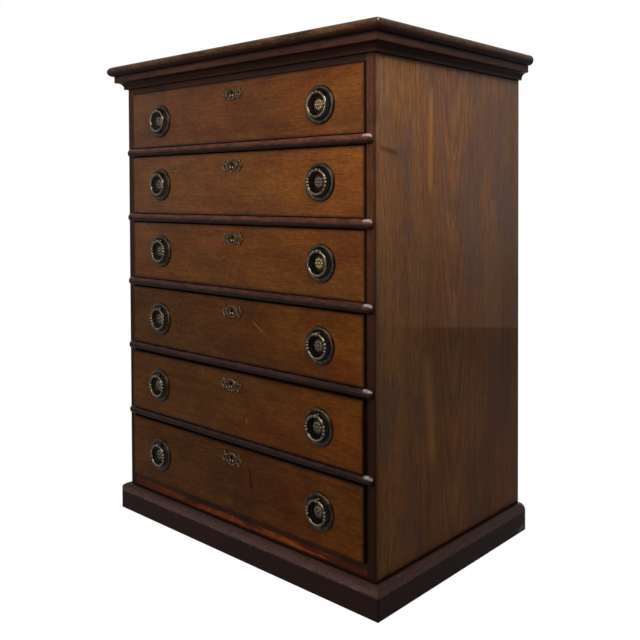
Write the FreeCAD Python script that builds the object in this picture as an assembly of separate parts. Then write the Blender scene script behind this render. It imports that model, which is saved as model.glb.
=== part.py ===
import FreeCAD, Part
import math
import os

Vector = FreeCAD.Vector

# The case: two side boards, a top, a back and the rails between the drawers
carcass_width = 542.0
carcass_depth = 368.0
side_thickness = 15.0
housing_depth = 5.0
quirk_inset = 2.0
quirk_width = 0.9
quirk_depth = 1.2
top_thickness = 16.5
top_overhang = 26.0
back_thickness = 8.0
back_rebate = 7.0
back_board_count = 4
back_board_joint = 0.5
back_ground_gap = 20.0

# Heights of the six drawer openings, from the top drawer down to the bottom one
opening_heights = (93.0, 95.5, 95.0, 96.0, 98.0, 102.5)
floor_of_openings = 63.5
top_rail_height = 31.5
bottom_rail_height = 43.5
bottom_rail_thickness = 18.0
rail_thickness = 14.0
rail_depth = 50.0
rail_shoulder = 4.0
bottom_board_thickness = 12.0

# Half-round mouldings that cover the front edges of the rails
moulding_end_inset = 3.8
moulding_end_round = 3.0

# Runners, dust boards, stops and glue blocks
runner_width = 20.0
dust_board_thickness = 5.0
dust_board_groove = 6.0
stop_length = 30.0
stop_depth = 12.0
stop_height = 5.0
stop_from_centre = 150.0
stop_gap = 0.2
block_size = 25.0
block_ground_gap = 2.0

# Cornice under the top, listed from the outside in
cornice_height = 22.0
fascia_projection = 17.0
fascia_height = 11.0
fascia_round = 1.5
cornice_quirk = 2.0
fillet_projection = 5.5
fillet_height = 2.5

# Plinth planted round the foot of the case
plinth_projection = 13.0
plinth_height = 42.5
plinth_round = 10.5
plinth_foot_round = 1.5
plinth_corner_round = 3.5

# Drawers: how far each front stands out from the case when shut, from the top drawer down
drawer_stand = (2.0, 2.5, 2.0, 4.0, 7.0, 6.0)
drawer_side_gap = 1.5
drawer_top_gap = 1.25
drawer_foot_gap = 1.0
drawer_back_gap = 20.0
runner_clearance = 0.3
front_thickness = 18.0
front_lap = 8.0
box_thickness = 9.0
side_top_drop = 4.0
back_top_drop = 10.0
drawer_bottom_thickness = 6.0
drawer_bottom_rise = 7.0
drawer_bottom_groove = 4.0
tail_count = 3
tail_share = 0.36
tail_slope = 1.0 / 6.0

# Ring pulls: a turned backplate, a post with an eye, and a ring hung through the eye
pull_inset = 76.5
pull_drop = (4.0, 0.0, 0.0, 2.0, 1.0, 2.0)
plate_radius = 26.5
plate_edge = 1.2
plate_bead = 3.2
plate_dish = 1.0
boss_radius = 9.2
boss_height = 3.0
petal_count = 8
petal_radius = 2.4
button_radius = 3.0
ring_radius = 16.4
ring_stand = 7.2
ring_wire = 2.0
neck_wire = 1.35
neck_angle = 22.0
eye_clearance = 0.5
eye_wall = 1.25
bead_radius = 2.6
bead_angles = (74.0, 90.0, 106.0)
foot_bead_angle = 8.0
foot_bead_radius = 2.3
collar_swell = 0.25
post_radius = 2.0
post_collar = 2.8
nut_width = 8.0
nut_thickness = 3.0

# The pulls whose rings are plain; the rings of all the others are beaded
plain_rings = ((1, "left"), (1, "right"), (2, "left"), (3, "right"))

# Keyhole plates and locks
keyhole_drop = 18.0
keyhole_radius = 3.2
keyhole_slot_width = 2.4
keyhole_length = 11.0
keyhole_rise = 1.5
plate_half_width = 22.8
plate_half_height = 9.3
plate_thickness = 1.2
plate_rim = 0.7
lock_width = 48.0
lock_height = 36.0
lock_depth = 9.0
lock_wall = 1.8
lock_cap = 2.0
lock_cavity_width = 30.0
bolt_width = 22.0
bolt_height = 14.0
bolt_shoulder = 5.0
bolt_shoulder_width = 28.0
bolt_travel = 6.0
bolt_clearance = 0.2
strike_clearance = 1.5
pin_radius = 1.2
screw_from_centre = 19.5
screw_shank = 1.2
screw_head = 2.4
screw_head_height = 0.8
screw_length = 13.0
screw_top_drop = 8.0
screw_pitch = 22.0

# Places worked out from the sizes above
half_width = carcass_width / 2
inner_x = half_width - side_thickness
front_y = (top_overhang - carcass_depth) / 2
back_y = front_y + carcass_depth
back_board_y = back_y - back_thickness
drawer_count = len(opening_heights)
case_top = (
    floor_of_openings
    + sum(opening_heights)
    + (drawer_count - 1) * rail_thickness
    + top_rail_height
)
overall_height = case_top + top_thickness
drawer_length = carcass_depth - back_thickness - drawer_back_gap
drawer_half_width = inner_x - drawer_side_gap
box_inner_x = drawer_half_width - box_thickness
pull_x = drawer_half_width - pull_inset
knob_radius = neck_wire + eye_clearance + eye_wall
X_AXIS = Vector(1, 0, 0)
Y_AXIS = Vector(0, 1, 0)


def box(x0, x1, y0, y1, z0, z1):
    """A block between two corners."""
    return Part.makeBox(x1 - x0, y1 - y0, z1 - z0, Vector(x0, y0, z0))


def rod(start, direction, radius, length):
    """A round bar from a point along a direction."""
    return Part.makeCylinder(radius, length, start, direction)


def ball(centre, radius):
    """A whole sphere about a point."""
    return Part.makeSphere(radius, centre)


def prism(points, travel):
    """A flat outline of straight sides, pushed along a vector."""
    return Part.Face(Part.makePolygon(points + [points[0]])).extrude(travel)


def line(a, b):
    """A straight edge."""
    return Part.LineSegment(a, b).toShape()


def arc(a, middle, b):
    """A round edge through three points."""
    return Part.Arc(a, middle, b).toShape()


def mirrored(shape):
    """The same shape on the other side of the chest."""
    return shape.mirror(Vector(0, 0, 0), X_AXIS)


def pair(shape):
    """A shape and its mirror image."""
    return [shape, mirrored(shape)]


def cut_all(shape, tools):
    """A shape with several others taken out of it."""
    return shape.cut(tools) if tools else shape


def save(name, solids):
    """Writes one named sub-part, made of one solid or several."""
    Part.makeCompound(solids).exportStep("parts/" + name + ".step")


def opening_floor(number):
    """Height of the floor of a drawer opening, counted from the top drawer as 1."""
    below = opening_heights[number:]
    return floor_of_openings + sum(below) + len(below) * rail_thickness


def opening_top(number):
    """Height of the top of a drawer opening."""
    return opening_floor(number) + opening_heights[number - 1]


def rail_levels():
    """Underside of each rail between two drawers."""
    return [opening_top(number) for number in range(2, drawer_count + 1)]


def side_board():
    """The right-hand side, housed for the rails and runners and rebated for the back."""
    board = box(inner_x, half_width, front_y, back_y, 0, case_top)
    bed = inner_x + housing_depth
    cuts = [
        box(inner_x, inner_x + back_rebate, back_board_y, back_y, back_ground_gap, case_top),
        box(inner_x, bed, front_y + bottom_rail_thickness, back_board_y,
            floor_of_openings - bottom_board_thickness, floor_of_openings),
        box(inner_x, bed, front_y + rail_depth, back_board_y,
            case_top - top_rail_height - rail_thickness, case_top - top_rail_height),
        top_rail_tenon(),
        bottom_rail_tenon(),
    ]
    for level in rail_levels():
        cuts.append(box(inner_x, bed, front_y, back_board_y, level, level + rail_thickness))
    quirk_x = half_width - quirk_inset - quirk_width
    cuts.append(box(quirk_x, quirk_x + quirk_width, front_y, front_y + quirk_depth, 0, case_top))
    return cut_all(board, cuts)


def top_rail_tenon():
    """Stub tenon of the top rail, in the right-hand side."""
    return box(inner_x, inner_x + housing_depth, front_y + rail_shoulder,
               front_y + rail_depth - rail_shoulder,
               case_top - top_rail_height + rail_shoulder, case_top)


def bottom_rail_tenon():
    """Stub tenon of the bottom rail, in the right-hand side."""
    return box(inner_x, inner_x + housing_depth, front_y + rail_shoulder,
               front_y + bottom_rail_thickness,
               floor_of_openings - bottom_rail_height + rail_shoulder,
               floor_of_openings - rail_shoulder)


def top_board():
    """The top, with a round nose along its front and both ends."""
    nose = top_thickness / 2
    low, middle, high = case_top, case_top + nose, overall_height
    tip_y = front_y - top_overhang
    tip_x = half_width + top_overhang
    along = Part.Wire([
        line(Vector(-tip_x, back_y, low), Vector(-tip_x, tip_y + nose, low)),
        arc(Vector(-tip_x, tip_y + nose, low), Vector(-tip_x, tip_y, middle),
            Vector(-tip_x, tip_y + nose, high)),
        line(Vector(-tip_x, tip_y + nose, high), Vector(-tip_x, back_y, high)),
        line(Vector(-tip_x, back_y, high), Vector(-tip_x, back_y, low)),
    ])
    across = Part.Wire([
        line(Vector(-tip_x + nose, tip_y, low), Vector(tip_x - nose, tip_y, low)),
        arc(Vector(tip_x - nose, tip_y, low), Vector(tip_x, tip_y, middle),
            Vector(tip_x - nose, tip_y, high)),
        line(Vector(tip_x - nose, tip_y, high), Vector(-tip_x + nose, tip_y, high)),
        arc(Vector(-tip_x + nose, tip_y, high), Vector(-tip_x, tip_y, middle),
            Vector(-tip_x + nose, tip_y, low)),
    ])
    long_way = Part.Face(along).extrude(Vector(2 * tip_x, 0, 0))
    short_way = Part.Face(across).extrude(Vector(0, back_y - tip_y, 0))
    return long_way.common(short_way)


def mitred_mouldings(edges_of, reach):
    """One profile run along the front and both sides, mitred at the front corners."""
    height = Vector(0, 0, overall_height)
    tip_x, tip_y = half_width + reach, front_y - reach
    front_plan = prism([Vector(-half_width, front_y, 0), Vector(half_width, front_y, 0),
                        Vector(tip_x, tip_y, 0), Vector(-tip_x, tip_y, 0)], height)
    side_plan = prism([Vector(half_width, front_y, 0), Vector(tip_x, tip_y, 0),
                       Vector(tip_x, back_y, 0), Vector(half_width, back_y, 0)], height)
    front_edges = edges_of(lambda out, z: Vector(-tip_x, front_y - out, z))
    side_edges = edges_of(lambda out, z: Vector(half_width + out, tip_y, z))
    front = Part.Face(Part.Wire(front_edges)).extrude(Vector(2 * tip_x, 0, 0))
    side = Part.Face(Part.Wire(side_edges)).extrude(Vector(0, back_y - tip_y, 0))
    return [front.common(front_plan)] + pair(side.common(side_plan))


def cornice_edges(place):
    """Cornice section: fascia with a rounded foot, a quirk, a hollow and a small fillet."""
    foot = case_top - cornice_height
    fascia_foot = case_top - fascia_height
    hollow_out = fascia_projection - cornice_quirk
    hollow_foot = foot + fillet_height
    bend = fascia_round * (1 - math.sqrt(0.5))
    hollow_bend = math.sqrt(0.5)
    hollow_wide = hollow_out - fillet_projection
    hollow_high = fascia_foot - hollow_foot
    return [
        line(place(0, foot), place(fillet_projection, foot)),
        line(place(fillet_projection, foot), place(fillet_projection, hollow_foot)),
        arc(place(fillet_projection, hollow_foot),
            place(hollow_out - hollow_wide * hollow_bend, hollow_foot + hollow_high * hollow_bend),
            place(hollow_out, fascia_foot)),
        line(place(hollow_out, fascia_foot), place(fascia_projection - fascia_round, fascia_foot)),
        arc(place(fascia_projection - fascia_round, fascia_foot),
            place(fascia_projection - bend, fascia_foot + bend),
            place(fascia_projection, fascia_foot + fascia_round)),
        line(place(fascia_projection, fascia_foot + fascia_round), place(fascia_projection, case_top)),
        line(place(fascia_projection, case_top), place(0, case_top)),
        line(place(0, case_top), place(0, foot)),
    ]


def plinth_edges(place):
    """Plinth section: an upright face with an eased foot and a broad round top edge."""
    out, top = plinth_projection, plinth_height
    bend = plinth_round * (1 - math.sqrt(0.5))
    foot_bend = plinth_foot_round * (1 - math.sqrt(0.5))
    return [
        line(place(0, 0), place(out - plinth_foot_round, 0)),
        arc(place(out - plinth_foot_round, 0), place(out - foot_bend, foot_bend),
            place(out, plinth_foot_round)),
        line(place(out, plinth_foot_round), place(out, top - plinth_round)),
        arc(place(out, top - plinth_round), place(out - bend, top - bend),
            place(out - plinth_round, top)),
        line(place(out - plinth_round, top), place(0, top)),
        line(place(0, top), place(0, 0)),
    ]


def plinth():
    """Plinth boards with softened corners, and the glue blocks behind them."""
    tip_x, tip_y = half_width + plinth_projection, front_y - plinth_projection
    blank = box(-tip_x, tip_x, tip_y, back_y, 0, plinth_height)
    corners = [e for e in blank.Edges
               if abs(e.Vertexes[0].X - e.Vertexes[-1].X) < 1e-6
               and abs(e.Vertexes[0].Y - tip_y) < 1e-6 and abs(e.Vertexes[-1].Y - tip_y) < 1e-6]
    softened = blank.makeFillet(plinth_corner_round, corners)
    boards = [b.common(softened) for b in mitred_mouldings(plinth_edges, plinth_projection)]
    under_board = floor_of_openings - bottom_board_thickness
    block_fronts = (front_y + bottom_rail_thickness, back_board_y - block_size)
    blocks = []
    for y in block_fronts:
        blocks += pair(box(inner_x - block_size, inner_x, y, y + block_size,
                           block_ground_gap, under_board))
    return boards + blocks


def strike_slot(number):
    """Mortise in the rail above a drawer, where its lock's bolt goes up."""
    y = bolt_y(number)
    wide = bolt_width / 2 + strike_clearance
    deep = bolt_thickness() / 2 + strike_clearance
    z = opening_top(number)
    return box(-wide, wide, y - deep, y + deep, z, z + bolt_travel + strike_clearance)


def top_rail():
    """The rail under the top, tenoned into both sides."""
    rail = box(-inner_x, inner_x, front_y, front_y + rail_depth,
               case_top - top_rail_height, case_top)
    for tenon in pair(top_rail_tenon()):
        rail = rail.fuse(tenon)
    return rail.cut(strike_slot(1))


def divider(number):
    """The rail between one drawer and the next below, grooved behind for the dust board."""
    z = opening_floor(number) - rail_thickness
    reach = inner_x + housing_depth
    rail = box(-reach, reach, front_y, front_y + rail_depth, z, z + rail_thickness)
    groove = dust_board_space(z, front_y + rail_depth - dust_board_groove)
    return rail.cut([groove, strike_slot(number + 1)])


def dust_board_space(level, front):
    """The thin board that closes the floor between two drawers, for a rail at this level."""
    half = inner_x - runner_width + dust_board_groove
    low = level + (rail_thickness - dust_board_thickness) / 2
    return box(-half, half, front, back_board_y, low, low + dust_board_thickness)


def bottom_rail():
    """The rail under the bottom drawer, partly behind the plinth."""
    rail = box(-inner_x, inner_x, front_y, front_y + bottom_rail_thickness,
               floor_of_openings - bottom_rail_height, floor_of_openings)
    for tenon in pair(bottom_rail_tenon()):
        rail = rail.fuse(tenon)
    return rail


def half_round(level):
    """Half-round moulding glued over one rail and the fronts of both sides."""
    radius = rail_thickness / 2
    reach = half_width - moulding_end_inset
    bar = rod(Vector(-reach, front_y, level + radius), X_AXIS, radius, 2 * reach)
    rims = [e for e in bar.Edges if e.isClosed()]
    bar = bar.makeFillet(moulding_end_round, rims)
    front_half = box(-reach, reach, front_y - radius, front_y, level, level + rail_thickness)
    return bar.common(front_half)


def back_boards():
    """Upright boards let into the rebates of the sides."""
    reach = inner_x + back_rebate
    pitch = (2 * reach + back_board_joint) / back_board_count
    boards = []
    for number in range(back_board_count):
        left = -reach + number * pitch
        boards.append(box(left, left + pitch - back_board_joint, back_board_y, back_y,
                          back_ground_gap, case_top))
    return boards


def bottom_board():
    """The floor under the bottom drawer, housed in both sides."""
    reach = inner_x + housing_depth
    return box(-reach, reach, front_y + bottom_rail_thickness, back_board_y,
               floor_of_openings - bottom_board_thickness, floor_of_openings)


def runners():
    """Strips that carry the drawers, and the two kickers that keep the top one level."""
    strips = []
    for level in rail_levels():
        strip = box(inner_x - runner_width, inner_x + housing_depth, front_y + rail_depth,
                    back_board_y, level, level + rail_thickness)
        strips += pair(strip.cut(dust_board_space(level, front_y)))
    kicker_foot = case_top - top_rail_height
    kicker = box(inner_x - runner_width, inner_x, front_y + rail_depth, back_board_y,
                 kicker_foot, kicker_foot + rail_thickness)
    return strips + pair(kicker)


def dust_boards():
    """One thin board for each rail between two drawers."""
    front = front_y + rail_depth - dust_board_groove
    return [dust_board_space(level, front) for level in rail_levels()]


def stops(number):
    """Two small blocks behind a drawer front, which set how deep the drawer goes."""
    y = front_back_y(number) + stop_gap
    z = opening_floor(number)
    return pair(box(stop_from_centre - stop_length / 2, stop_from_centre + stop_length / 2,
                    y, y + stop_depth, z, z + stop_height))


def face_y(number):
    """Face of a shut drawer."""
    return front_y - drawer_stand[number - 1]


def front_back_y(number):
    """Back of a shut drawer's front."""
    return face_y(number) + front_thickness


def front_top(number):
    """Top edge of a drawer's front."""
    return opening_top(number) - drawer_top_gap


def pull_height(number):
    """Height of the centre of a drawer's pulls."""
    return opening_floor(number) + opening_heights[number - 1] / 2 - pull_drop[number - 1]


def keyhole_height(number):
    """Height of the round part of a drawer's keyhole."""
    return front_top(number) - keyhole_drop


def bolt_thickness():
    """Thickness of a lock bolt, which slides between the two walls of its case."""
    return lock_depth - 2 * lock_wall - 2 * bolt_clearance


def bolt_y(number):
    """Middle of a lock bolt, from front to back."""
    return front_back_y(number) - lock_depth / 2


def tails(number, shoulder_y, tip_y, low):
    """Dovetails on one end of the right-hand drawer side, widest at their tips."""
    high = opening_top(number) - side_top_drop
    pitch = (high - low) / tail_count
    tip_half = pitch * tail_share
    root_half = tip_half - abs(tip_y - shoulder_y) * tail_slope
    shapes = []
    for count in range(tail_count):
        z = low + pitch * (count + 0.5)
        shapes.append(prism([
            Vector(box_inner_x, shoulder_y, z - root_half),
            Vector(box_inner_x, tip_y, z - tip_half),
            Vector(box_inner_x, tip_y, z + tip_half),
            Vector(box_inner_x, shoulder_y, z + root_half),
        ], Vector(box_thickness, 0, 0)))
    return shapes


def front_tails(number):
    """The tails that go into the back of the drawer front, short of its face."""
    shoulder = front_back_y(number)
    tip = face_y(number) + front_lap
    return tails(number, shoulder, tip, opening_floor(number) + drawer_foot_gap)


def box_back_y(number):
    """Back end of a shut drawer."""
    return face_y(number) + drawer_length


def bottom_low(number):
    """Underside of a drawer's bottom panel."""
    return opening_floor(number) + drawer_bottom_rise


def drawer_bottom(number):
    """Thin panel let into grooves in the sides and the front, and running under the back."""
    low = bottom_low(number)
    high = low + drawer_bottom_thickness
    inside = front_back_y(number)
    reach = box_inner_x + drawer_bottom_groove
    panel = box(-reach, reach, inside, box_back_y(number), low, high)
    tongue = box(-box_inner_x, box_inner_x, inside - drawer_bottom_groove, inside, low, high)
    return panel.fuse(tongue).removeSplitter()


def drawer_back(number):
    """Back of a drawer, dovetailed between the sides and standing on the bottom panel."""
    low = bottom_low(number) + drawer_bottom_thickness
    end = box_back_y(number)
    board = box(-drawer_half_width, drawer_half_width, end - box_thickness, end,
                low, opening_top(number) - back_top_drop)
    rear_tails = tails(number, end - box_thickness, end, low)
    return board.cut(rear_tails + [mirrored(t) for t in rear_tails])


def drawer_side(number, back, bottom):
    """Right-hand drawer side, tailed into the front and cut round the back and the bottom."""
    low = opening_floor(number) + runner_clearance
    board = box(box_inner_x, drawer_half_width, front_back_y(number), box_back_y(number),
                low, opening_top(number) - side_top_drop)
    board = board.fuse(front_tails(number)).removeSplitter()
    return board.cut([back, bottom])


def drawer_box(number):
    """Both sides, the back and the bottom panel of one drawer."""
    back = drawer_back(number)
    bottom = drawer_bottom(number)
    side = drawer_side(number, back, bottom)
    return pair(side) + [back, bottom]


def keyhole(centre_z, start_y, length):
    """The space of a keyhole, round above with a narrow slot below."""
    hole = rod(Vector(0, start_y, centre_z), Y_AXIS, keyhole_radius, length)
    foot = centre_z + keyhole_radius - keyhole_length
    slot = box(-keyhole_slot_width / 2, keyhole_slot_width / 2, start_y, start_y + length,
               foot, centre_z)
    return hole.fuse(slot)


def lock_screw(x, y, z):
    """One round-headed screw that holds a lock, its head on the back of the case."""
    shank = rod(Vector(x, y - screw_length, z), Y_AXIS, screw_shank, screw_length)
    head = rod(Vector(x, y, z), Y_AXIS, screw_head, screw_head_height)
    return shank.fuse(head)


def lock_screws(number):
    """The four screws of one lock."""
    top = front_top(number)
    y = front_back_y(number)
    screws = []
    for drop in (screw_top_drop, screw_top_drop + screw_pitch):
        screws += pair(lock_screw(screw_from_centre, y, top - drop))
    return screws


def drawer_front(number):
    """Solid drawer front, cut for the dovetails, bottom, lock, keyhole and pull posts."""
    face, inside, top = face_y(number), front_back_y(number), front_top(number)
    board = box(-drawer_half_width, drawer_half_width, face, inside,
                opening_floor(number) + drawer_foot_gap, top)
    sockets = front_tails(number)
    cuts = sockets + [mirrored(t) for t in sockets]
    cuts.append(drawer_bottom(number))
    cuts.append(box(-lock_width / 2, lock_width / 2, inside - lock_depth, inside,
                    top - lock_height, top))
    cuts.append(keyhole(keyhole_height(number), face, front_thickness))
    cuts += lock_screws(number)
    for x in (-pull_x, pull_x):
        start = Vector(x, face, pull_height(number) + ring_radius)
        cuts.append(rod(start, Y_AXIS, post_radius, front_thickness))
    return cut_all(board, cuts)


def lock_case(number):
    """Lock case with its cap, let into the back and top edge of the drawer front."""
    top, inside = front_top(number), front_back_y(number)
    middle = bolt_y(number)
    case = box(-lock_width / 2, lock_width / 2, inside - lock_depth, inside,
               top - lock_height, top)
    hollow_half = lock_depth / 2 - lock_wall
    cavity = box(-lock_cavity_width / 2, lock_cavity_width / 2,
                 middle - hollow_half, middle + hollow_half,
                 top - lock_height + lock_cap, top - lock_cap)
    mouth_half = bolt_width / 2 + bolt_clearance
    mouth = box(-mouth_half, mouth_half, middle - hollow_half, middle + hollow_half,
                top - lock_cap, top)
    key_space = keyhole(keyhole_height(number), inside - lock_depth, lock_wall)
    case = case.cut([cavity, mouth, key_space] + lock_screws(number))
    pin = rod(Vector(0, inside - lock_depth, keyhole_height(number)), Y_AXIS,
              pin_radius, lock_depth - lock_wall)
    return case.fuse(pin)


def lock_bolt(number):
    """Flat bolt that slides up out of the lock, with shoulders that stay inside."""
    top, middle = front_top(number), bolt_y(number)
    half = bolt_thickness() / 2
    blade = box(-bolt_width / 2, bolt_width / 2, middle - half, middle + half,
                top - bolt_height, top)
    shoulder = box(-bolt_shoulder_width / 2, bolt_shoulder_width / 2,
                   middle - half, middle + half,
                   top - bolt_height, top - bolt_height + bolt_shoulder)
    return blade.fuse(shoulder).removeSplitter()


def escutcheon_edges():
    """Outline of a keyhole plate: an oval middle, four corner spikes and rounded ends."""
    wide, high = plate_half_width, plate_half_height
    top = (0.0, high)
    dip = (wide * 0.44, high * 0.53)
    spike = (wide * 0.74, high * 0.99)
    notch = (wide * 0.86, high * 0.38)
    bends = (
        (top, (wide * 0.25, high * 0.88), dip),
        (dip, (wide * 0.60, high * 0.60), spike),
        (spike, (wide * 0.78, high * 0.64), notch),
        (notch, (wide * 0.965, high * 0.21), (wide, 0.0)),
    )
    edges = []
    for across in (1, -1):
        for up in (1, -1):
            for bend in bends:
                edges.append(arc(*[Vector(across * x, 0, up * z) for x, z in bend]))
    return Part.__sortEdges__(edges)


def oval(half_long, half_short, thickness):
    """An oval slab on the drawer's face, longest across."""
    edge = Part.Ellipse(Vector(0, 0, 0), half_long, half_short)
    slab = Part.Face(Part.Wire(edge.toShape())).extrude(Vector(0, 0, thickness))
    return slab.rotated(Vector(0, 0, 0), X_AXIS, 90)


def escutcheon_blank():
    """Keyhole plate with its pierced ends and raised oval rim, its middle at the origin."""
    plate = Part.Face(Part.Wire(escutcheon_edges())).extrude(Vector(0, -plate_thickness, 0))
    rim_wide, rim_high = plate_half_width * 0.49, plate_half_height * 0.90
    total = plate_thickness + plate_rim
    rim = oval(rim_wide, rim_high, total)
    rim = rim.cut(oval(rim_wide * 0.84, rim_high * 0.80, total))
    upright = oval(plate_half_height * 0.33, plate_half_width * 0.10, plate_thickness)
    upright = upright.rotated(Vector(0, 0, 0), Y_AXIS, 90)
    pierced = pair(upright.translated(Vector(plate_half_width * 0.70, 0, 0)))
    return plate.cut(pierced).fuse(rim)


def escutcheon(number, blank):
    """Keyhole plate pinned to the face of one drawer."""
    face, z = face_y(number), keyhole_height(number)
    plate = blank.copy()
    plate.translate(Vector(0, face, z - keyhole_rise))
    depth = plate_thickness + plate_rim
    return plate.cut(keyhole(z, face - depth, depth))


def pull_plate():
    """Backplate of a pull: rim bead, dished band, inner bead and a rosette in the middle."""
    def at(radius, out):
        return Vector(radius, -out, 0)
    rim_in = plate_radius - 2.9
    inner_bead_out = boss_radius + 10.4
    inner_bead_in = boss_radius + 7.8
    inner_bead_mid = (inner_bead_out + inner_bead_in) / 2
    bead_foot = plate_dish + 0.6
    edges = [
        line(at(0, 0), at(plate_radius, 0)),
        line(at(plate_radius, 0), at(plate_radius, plate_edge)),
        arc(at(plate_radius, plate_edge), at(plate_radius - 1.3, plate_bead),
            at(rim_in, bead_foot)),
        arc(at(rim_in, bead_foot), at((rim_in + inner_bead_out) / 2, plate_dish),
            at(inner_bead_out, bead_foot)),
        arc(at(inner_bead_out, bead_foot), at(inner_bead_mid, bead_foot + 1.1),
            at(inner_bead_in, bead_foot)),
        line(at(inner_bead_in, bead_foot), at(boss_radius + 1.5, plate_dish)),
        line(at(boss_radius + 1.5, plate_dish), at(boss_radius, plate_dish)),
        arc(at(boss_radius, plate_dish), at(boss_radius * 0.6, boss_height - 0.5),
            at(0, boss_height)),
        line(at(0, boss_height), at(0, 0)),
    ]
    plate = Part.Face(Part.Wire(edges)).revolve(Vector(0, 0, 0), Y_AXIS, 360)
    ornaments = [ball(Vector(0, -boss_height + button_radius * 0.35, 0), button_radius)]
    petal_orbit = boss_radius - petal_radius
    for count in range(petal_count):
        angle = 2 * math.pi * count / petal_count
        centre = Vector(petal_orbit * math.cos(angle), -boss_height * 0.45,
                        petal_orbit * math.sin(angle))
        ornaments.append(ball(centre, petal_radius))
    hole = rod(Vector(0, -plate_bead, ring_radius), Y_AXIS, post_radius, plate_bead)
    behind = box(-boss_radius, boss_radius, 0, button_radius, -boss_radius, boss_radius)
    return plate.fuse(ornaments).cut([hole, behind])


def pull_post():
    """Post of a pull: a shank through the plate and the drawer front, and a drilled knob."""
    z = ring_radius
    shank = rod(Vector(0, -ring_stand, z), Y_AXIS, post_radius,
                ring_stand + front_thickness + nut_thickness)
    collar = rod(Vector(0, -ring_stand, z), Y_AXIS, post_collar, ring_stand - plate_bead)
    knob = ball(Vector(0, -ring_stand, z), knob_radius)
    eye = rod(Vector(-knob_radius, -ring_stand, z), X_AXIS, neck_wire + eye_clearance,
              2 * knob_radius)
    return shank.fuse([collar, knob]).cut(eye)


def pull_nut():
    """Square nut that draws the post tight against the back of the drawer front."""
    half = nut_width / 2
    nut = box(-half, half, front_thickness, front_thickness + nut_thickness,
              ring_radius - half, ring_radius + half)
    return nut.cut(rod(Vector(0, front_thickness, ring_radius), Y_AXIS, post_radius,
                       nut_thickness))


def ring_point(angle):
    """Point on the middle of the ring's wire, at an angle in degrees from the eye."""
    turn = math.radians(angle)
    return Vector(ring_radius * math.sin(turn), -ring_stand, ring_radius * math.cos(turn))


def ring_tangent(angle):
    """Way the ring's wire runs at an angle from the eye."""
    turn = math.radians(angle)
    return Vector(math.cos(turn), 0, -math.sin(turn))


def ring_swell(angle, radius):
    """A round bead on the ring's wire."""
    return Part.makeSphere(radius, ring_point(angle), ring_tangent(angle))


def ring_arc(start, end, wire):
    """A stretch of the ring's round wire between two angles."""
    circle = Part.makeCircle(wire, ring_point(start), ring_tangent(start))
    section = Part.Face(Part.Wire(circle))
    return section.revolve(Vector(0, -ring_stand, 0), Y_AXIS, end - start)


def pull_ring(beaded):
    """Ring with a thin neck where it passes the eye, plain or with groups of beads."""
    ring = ring_arc(-neck_angle, neck_angle, neck_wire)
    ring = ring.fuse(ring_arc(neck_angle, 360 - neck_angle, ring_wire))
    swells = [ring_swell(a, ring_wire + collar_swell) for a in (neck_angle, -neck_angle)]
    if beaded:
        for angle in bead_angles:
            swells += [ring_swell(a, bead_radius) for a in (angle, -angle)]
        for angle in (180 - foot_bead_angle, 180 + foot_bead_angle):
            swells.append(ring_swell(angle, foot_bead_radius))
    for swell in swells:
        ring = ring.fuse(swell)
    return ring


def placed(shape, number, side):
    """A pull's piece moved to its place on a drawer, the side given as -1 or 1."""
    copy = shape.copy()
    copy.translate(Vector(side * pull_x, face_y(number), pull_height(number)))
    return copy


def save_case():
    """Writes every piece of the case."""
    right = side_board()
    save("side_right", [right])
    save("side_left", [mirrored(right)])
    save("top_board", [top_board()])
    save("cornice", mitred_mouldings(cornice_edges, fascia_projection))
    rails = [top_rail()] + [divider(n) for n in range(1, drawer_count)] + [bottom_rail()]
    save("front_rails", rails)
    save("half_round_mouldings", [half_round(level) for level in rail_levels()])
    save("back_boards", back_boards())
    save("bottom_board", [bottom_board()])
    save("plinth", plinth())
    save("drawer_runners", runners())
    save("dust_boards", dust_boards())
    all_stops = []
    for number in range(1, drawer_count + 1):
        all_stops += stops(number)
    save("drawer_stops", all_stops)


def save_drawers():
    """Writes every piece of each drawer, its lock and its pulls."""
    blank = escutcheon_blank()
    fittings = [pull_plate(), pull_post(), pull_nut()]
    rings = {True: pull_ring(True), False: pull_ring(False)}
    for number in range(1, drawer_count + 1):
        name = "drawer_%d_" % number
        save(name + "front", [drawer_front(number)])
        save(name + "box", drawer_box(number))
        save(name + "lock", [lock_case(number)] + lock_screws(number))
        save(name + "lock_bolt", [lock_bolt(number)])
        save(name + "escutcheon", [escutcheon(number, blank)])
        pulls = []
        for side, word in ((-1, "left"), (1, "right")):
            pulls += [placed(shape, number, side) for shape in fittings]
            beaded = (number, word) not in plain_rings
            save(name + "ring_" + word, [placed(rings[beaded], number, side)])
        save(name + "pulls", pulls)


os.makedirs("parts", exist_ok=True)
save_case()
save_drawers()
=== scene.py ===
import math

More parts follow.
